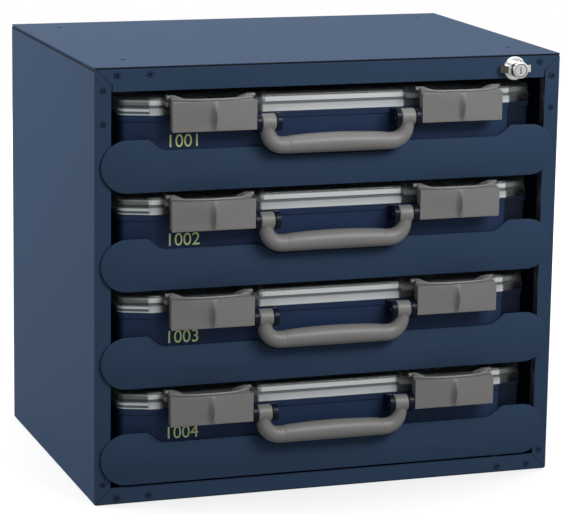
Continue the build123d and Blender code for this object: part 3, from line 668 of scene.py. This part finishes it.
def model_latch():
    """Front plate with a thumb ridge, and behind it a hollow body with a rim, cheeks and a well."""
    latch = model_latch_plate()
    plate_back = latch_face + latch_plate
    body_sides = (latch_inner + latch_side_step, latch_outer - latch_side_step)
    body = cube("body", body_sides, (plate_back - plate_lap, latch_back),
                (latch_low + body_raise, latch_ledge))
    well = cube("well", (latch_centre - well_half, latch_centre + well_half),
                (rim_front + rim_wall + rim_step, latch_back + cutter_spare),
                (well_floor, latch_top + cutter_spare))
    combine(body, well, "DIFFERENCE")
    combine(body, model_latch_crown(body_sides), "UNION")
    wall = latch_side_step + hollow_wall
    hollow = cube("hollow", (latch_inner + wall, latch_outer - wall),
                  (plate_back + hollow_front, latch_back + cutter_spare),
                  (latch_low + hollow_floor, hollow_top))
    combine(body, rounded(hollow, hollow_round, segments=3), "DIFFERENCE")
    relief = cube("relief", (latch_inner - cutter_spare, latch_outer + cutter_spare),
                  (catch_back, latch_back + cutter_spare), (latch_low - cutter_spare, catch_top))
    combine(body, relief, "DIFFERENCE")
    join(latch, rounded(body, body_round, angle=32.0))
    for outer, inward in ((latch_inner - latch_pin_reach, 1), (latch_outer + latch_pin_reach, -1)):
        pin = rod("pin", latch_pin_radius, (outer, *latch_pivot),
                  (outer + inward * latch_pin_inside, *latch_pivot))
        join(latch, rounded(pin, latch_pin_round))
    return latch


def model_latch_plate():
    """Front plate, with a ridge down its middle that swells forward at half height."""
    plate = cube("latch", (latch_inner, latch_outer), (latch_face, latch_face + latch_plate),
                 (latch_low, latch_ledge))
    across = [sign * x for x in ridge_columns for sign in (-1, 1) if x or sign > 0]
    with editing(plate):
        for x in across:
            cut((latch_centre + x, 0, 0), (1, 0, 0))
        for z in ridge_rows:
            cut((0, 0, z), (0, 0, 1))
        for x in across:
            for z in (*ridge_rows, latch_ledge):
                pick(plate, lambda v: near(v.x, latch_centre + x) and near(v.y, latch_face)
                     and near(v.z, z), "vertices")
                shift(0, -ridge_columns[abs(x)] * ridge_proud(z), 0)
    return rounded(plate, plate_round, angle=60.0)


def model_latch_crown(sides):
    """Top of the body: a beaded rim that swings back at the ends, and a dished top behind it."""
    crown = cube("crown", sides, (rim_front, latch_back), (crown_low, latch_rim))
    dish_front = rim_front + rim_wall + rim_step
    with editing(crown):
        for x in cheek_heights:
            for side in (-1, 1):
                if 0 < x < max(cheek_heights):
                    cut((latch_centre + side * x, 0, 0), (1, 0, 0))
        cut((latch_centre, 0, 0), (1, 0, 0))
        for y in (rim_front + rim_wall, dish_front, *knuckle_rows):
            cut((0, y, 0), (0, 1, 0))
        cut((0, 0, bead_base), (0, 0, 1))
        for x, height in cheek_heights.items():
            swing = rim_back_swing(x)
            for y in (rim_front, rim_front + rim_wall, dish_front):
                pick(crown, lambda v: near(abs(v.x - latch_centre), x) and near(v.y, y), "vertices")
                shift(0, swing, 0)
            for y in (dish_front + swing, *knuckle_rows, latch_back):
                top = min(height, latch_reach(y))
                pick(crown, lambda v: near(abs(v.x - latch_centre), x) and near(v.y, y)
                     and (near(v.z, latch_rim) or v.z > top), "vertices")
                flatten_to(top)
        pick(crown, lambda place, normal: normal.y < -0.5 and place.z > bead_base
             and place.y < rim_rear)
        bpy.ops.mesh.extrude_region_move(
            TRANSFORM_OT_translate={"value": (0, -bead_proud * MM, 0)})
        for x in cheek_heights:
            pick(crown, lambda v: near(abs(v.x - latch_centre), x) and near(v.z, latch_rim)
                 and near(v.y, rim_front - bead_proud + rim_back_swing(x)), "vertices")
            shift(0, bead_lean, 0)
    return crown


# Handle

def pull_ring(x, z):
    """Extrude the selected ring of edges."""
    bpy.ops.mesh.extrude_edges_move(TRANSFORM_OT_translate={"value": (x * MM, 0, z * MM)})


def resize_ring(share, centre):
    bpy.ops.transform.resize(value=(share, share, share), center_override=centre * MM)


def model_handle():
    """Sweep a ring from the middle of the grip round the corner and up the leg, then mirror it
    and blend it with the eyes."""
    deselect()
    bpy.ops.mesh.primitive_circle_add(
        vertices=grip_sides, radius=grip_radius * MM, fill_type="NOTHING",
        rotation=(0, math.pi / 2, 0),
        location=(0, handle_y * MM, (handle_bottom + grip_radius) * MM))
    handle = named("handle")
    with editing(handle, "EDGE"):
        bpy.ops.mesh.select_all(action="SELECT")
        x, radius = 0.0, grip_radius
        for end, end_radius in grip_sections:
            pull_ring(end - x, end_radius - radius)
            resize_ring(end_radius / radius, Vector((end, handle_y, handle_bottom + end_radius)))
            x, radius = end, end_radius
        turn_corner(x, radius)
        pull_ring(0, handle_pivot - handle_bottom - radius - bend_radius)
        bpy.ops.mesh.fill()
    modify(handle, "MIRROR")
    for middle in (handle_leg, -handle_leg):
        eye = handle_rod("eye", handle_eye_radius, middle - handle_eye_half,
                         middle + handle_eye_half, handle_eye_sides)
        join(handle, rounded(eye, handle_eye_round, segments=3))
    modify(handle, "REMESH", mode="VOXEL", voxel_size=blend_voxel * MM)
    modify(handle, "SMOOTH", factor=0.5, iterations=blend_passes)
    for side in (-1, 1):
        pin = handle_rod("pin", handle_pin_radius,
                         side * (handle_leg - handle_eye_half - handle_pin_reach),
                         side * (handle_leg + handle_eye_half + handle_pin_reach),
                         handle_pin_sides)
        join(handle, rounded(pin, handle_pin_round))
    return smooth(handle, 50.0)


def handle_rod(name, radius, start, end, sides):
    """Rod along the line that the handle turns on."""
    return rod(name, radius, (start, handle_y, handle_pivot), (end, handle_y, handle_pivot), sides)


def turn_corner(x, radius):
    """Turn the selected ring up through a right angle, while it narrows to the leg."""
    bend = Vector((x, handle_y, handle_bottom + radius + bend_radius))
    for step in range(1, bend_steps + 1):
        bpy.ops.mesh.extrude_edges_move()
        bpy.ops.transform.rotate(value=math.radians(90.0 / bend_steps), orient_axis="Y",
                                 center_override=bend * MM)
        angle = math.radians(90.0 * step / bend_steps)
        centre = bend + bend_radius * Vector((math.sin(angle), 0, -math.cos(angle)))
        resize_ring((leg_radius / radius) ** (1 / bend_steps), centre)


# Pieces

def model_number(text, name, floor):
    """Thin raised number on the front of a case's base, under the left latch."""
    deselect()
    bpy.ops.object.text_add(location=(number_left * MM, number_face * MM, number_low * MM),
                            rotation=(math.pi / 2, 0, 0))
    number = bpy.context.active_object
    number.data.body = text
    number.data.size = number_size * MM
    number.data.extrude = number_thickness * MM
    bpy.ops.object.convert(target="MESH")
    number = named(name)
    number.location.z = floor * MM
    return settle(number)


def add_moving_pieces():
    """One latch and one handle are modelled, and copied for every drawer."""
    latch = model_latch()
    handle = model_handle()
    for drawer, floor in tray_floors.items():
        for side, x in (("right", 0.0), ("left", -2 * latch_centre)):
            piece = copied(latch, f"latch_{side}_cover_{drawer}", x, floor)
            finish_piece(piece, grey, f"latch_{side}_{drawer}", "grey_plastic",
                         f"latch_{side}_{drawer}")
        piece = copied(handle, f"handle_grip_{drawer}", z=floor)
        finish_piece(piece, grey, f"handle_{drawer}", "grey_plastic", f"handle_{drawer}")
    for pattern in (latch, handle):
        bpy.data.objects.remove(pattern, do_unlink=True)


def add_fixed_pieces():
    """Front plates with soft edges, and a plain number on each case."""
    for drawer, floor in tray_floors.items():
        plate = softened(f"drawer_front_{drawer}", f"drawer_plate_{drawer}")
        finish_piece(plate, coat, f"drawer_{drawer}", "blue_steel", f"drawer_front_{drawer}")
        number = model_number(f"100{drawer}", f"case_number_{drawer}", floor)
        finish_piece(number, ink, f"drawer_{drawer}", None)


# Camera, floor and light

def add_camera():
    forward = Vector((math.sin(camera_yaw) * math.cos(camera_pitch),
                      math.cos(camera_yaw) * math.cos(camera_pitch), -math.sin(camera_pitch)))
    level = Vector((math.cos(camera_yaw), -math.sin(camera_yaw), 0.0))
    above = level.cross(forward)
    right = math.cos(camera_roll) * level + math.sin(camera_roll) * above
    up = math.cos(camera_roll) * above - math.sin(camera_roll) * level
    data = bpy.data.cameras.new("photo_camera")
    data.sensor_width = sensor_width
    data.lens = photo_focal_px / photo_width * sensor_width
    camera = bpy.data.objects.new("photo_camera", data)
    turn = Matrix((right, up, -forward)).transposed().to_4x4()
    camera.matrix_world = Matrix.Translation(camera_place) @ turn
    bpy.context.collection.objects.link(camera)
    bpy.context.scene.camera = camera


def add_floor():
    """Pale floor that the camera sees as near white, with the cabinet's soft shadow on it."""
    deselect()
    bpy.ops.mesh.primitive_plane_add(size=floor_size, location=(0, 0, -floor_drop))
    floor = bpy.context.active_object
    floor.name = "floor"
    floor.visible_diffuse = False
    finish = Finish("floor")
    clouds = finish.noise(3.0)
    seen = Level(finish, finish.node("ShaderNodeLightPath").outputs["Is Camera Ray"])
    across, back = finish.metres("X"), finish.metres("Y")
    far = (across * across + back * back).ramp(*floor_fade)
    glow = finish.mixed(seen * (0.72 + 0.28 * far), (0.0, 0.0, 0.0), plain_white)
    finish.shaded(base_color=finish.mixed(clouds, (0.28, 0.28, 0.28), (0.31, 0.31, 0.31)),
                  roughness=0.8 + 0.1 * clouds, emission_color=glow, emission_strength=1.0)
    dress(floor, finish.material)


def add_world():
    """Soft even light; the camera, and what the metal and the clear plastic show, see white."""
    world = bpy.data.worlds.new("studio")
    bpy.context.scene.world = world
    world.use_nodes = True
    tree = world.node_tree
    tree.nodes.clear()
    path = tree.nodes.new("ShaderNodeLightPath")
    shown = path.outputs["Is Camera Ray"]
    for ray, share in (("Is Glossy Ray", world_in_gloss), ("Is Transmission Ray", world_in_glass)):
        either = tree.nodes.new("ShaderNodeMath")
        either.operation = "MULTIPLY_ADD"
        tree.links.new(path.outputs[ray], either.inputs[0])
        either.inputs[1].default_value = share
        tree.links.new(shown, either.inputs[2])
        shown = either.outputs[0]
    soft = tree.nodes.new("ShaderNodeBackground")
    soft.inputs[1].default_value = world_glow
    white = tree.nodes.new("ShaderNodeBackground")
    white.inputs[0].default_value = (*plain_white, 1.0)
    white.inputs[1].default_value = 1.0
    mix = tree.nodes.new("ShaderNodeMixShader")
    out = tree.nodes.new("ShaderNodeOutputWorld")
    tree.links.new(shown, mix.inputs[0])
    tree.links.new(soft.outputs[0], mix.inputs[1])
    tree.links.new(white.outputs[0], mix.inputs[2])
    tree.links.new(mix.outputs[0], out.inputs[0])


def add_lamp(name, place, aim, size, power, mirrored=True):
    """Soft box in metres and watts; without mirrored, no gloss shows it."""
    data = bpy.data.lights.new(name, "AREA")
    data.shape = "RECTANGLE"
    data.size, data.size_y = size
    data.energy = power
    lamp = bpy.data.objects.new(name, data)
    direction = Vector(aim) - Vector(place)
    lamp.matrix_world = (Matrix.Translation(place)
                         @ direction.to_track_quat("-Z", "Y").to_matrix().to_4x4())
    lamp.visible_glossy = mirrored
    bpy.context.collection.objects.link(lamp)


def add_lamps():
    low_middle = (0.0, 0.0, 0.2)
    add_lamp("top_softbox", (-0.1, 0.3, 1.9), aim=(0.0, 0.0, 0.3), size=(1.4, 1.2), power=13.0)
    add_lamp("left_softbox", (-1.8, 0.6, 1.0), aim=low_middle, size=(1.2, 1.0), power=31.0)
    add_lamp("right_softbox", (1.8, 0.6, 1.0), aim=low_middle, size=(1.2, 1.0), power=20.0)
    add_lamp("rear_softbox", (0.2, 2.0, 1.1), aim=low_middle, size=(1.2, 1.0), power=22.0,
             mirrored=False)
    add_lamp("front_softbox", (0.5, -1.2, 1.1), aim=low_middle, size=(0.9, 0.5), power=12.5)


bpy.context.scene.view_settings.view_transform = "Standard"
add_camera()
add_floor()
add_world()
add_lamps()
dress_nodes()
add_moving_pieces()
add_fixed_pieces()
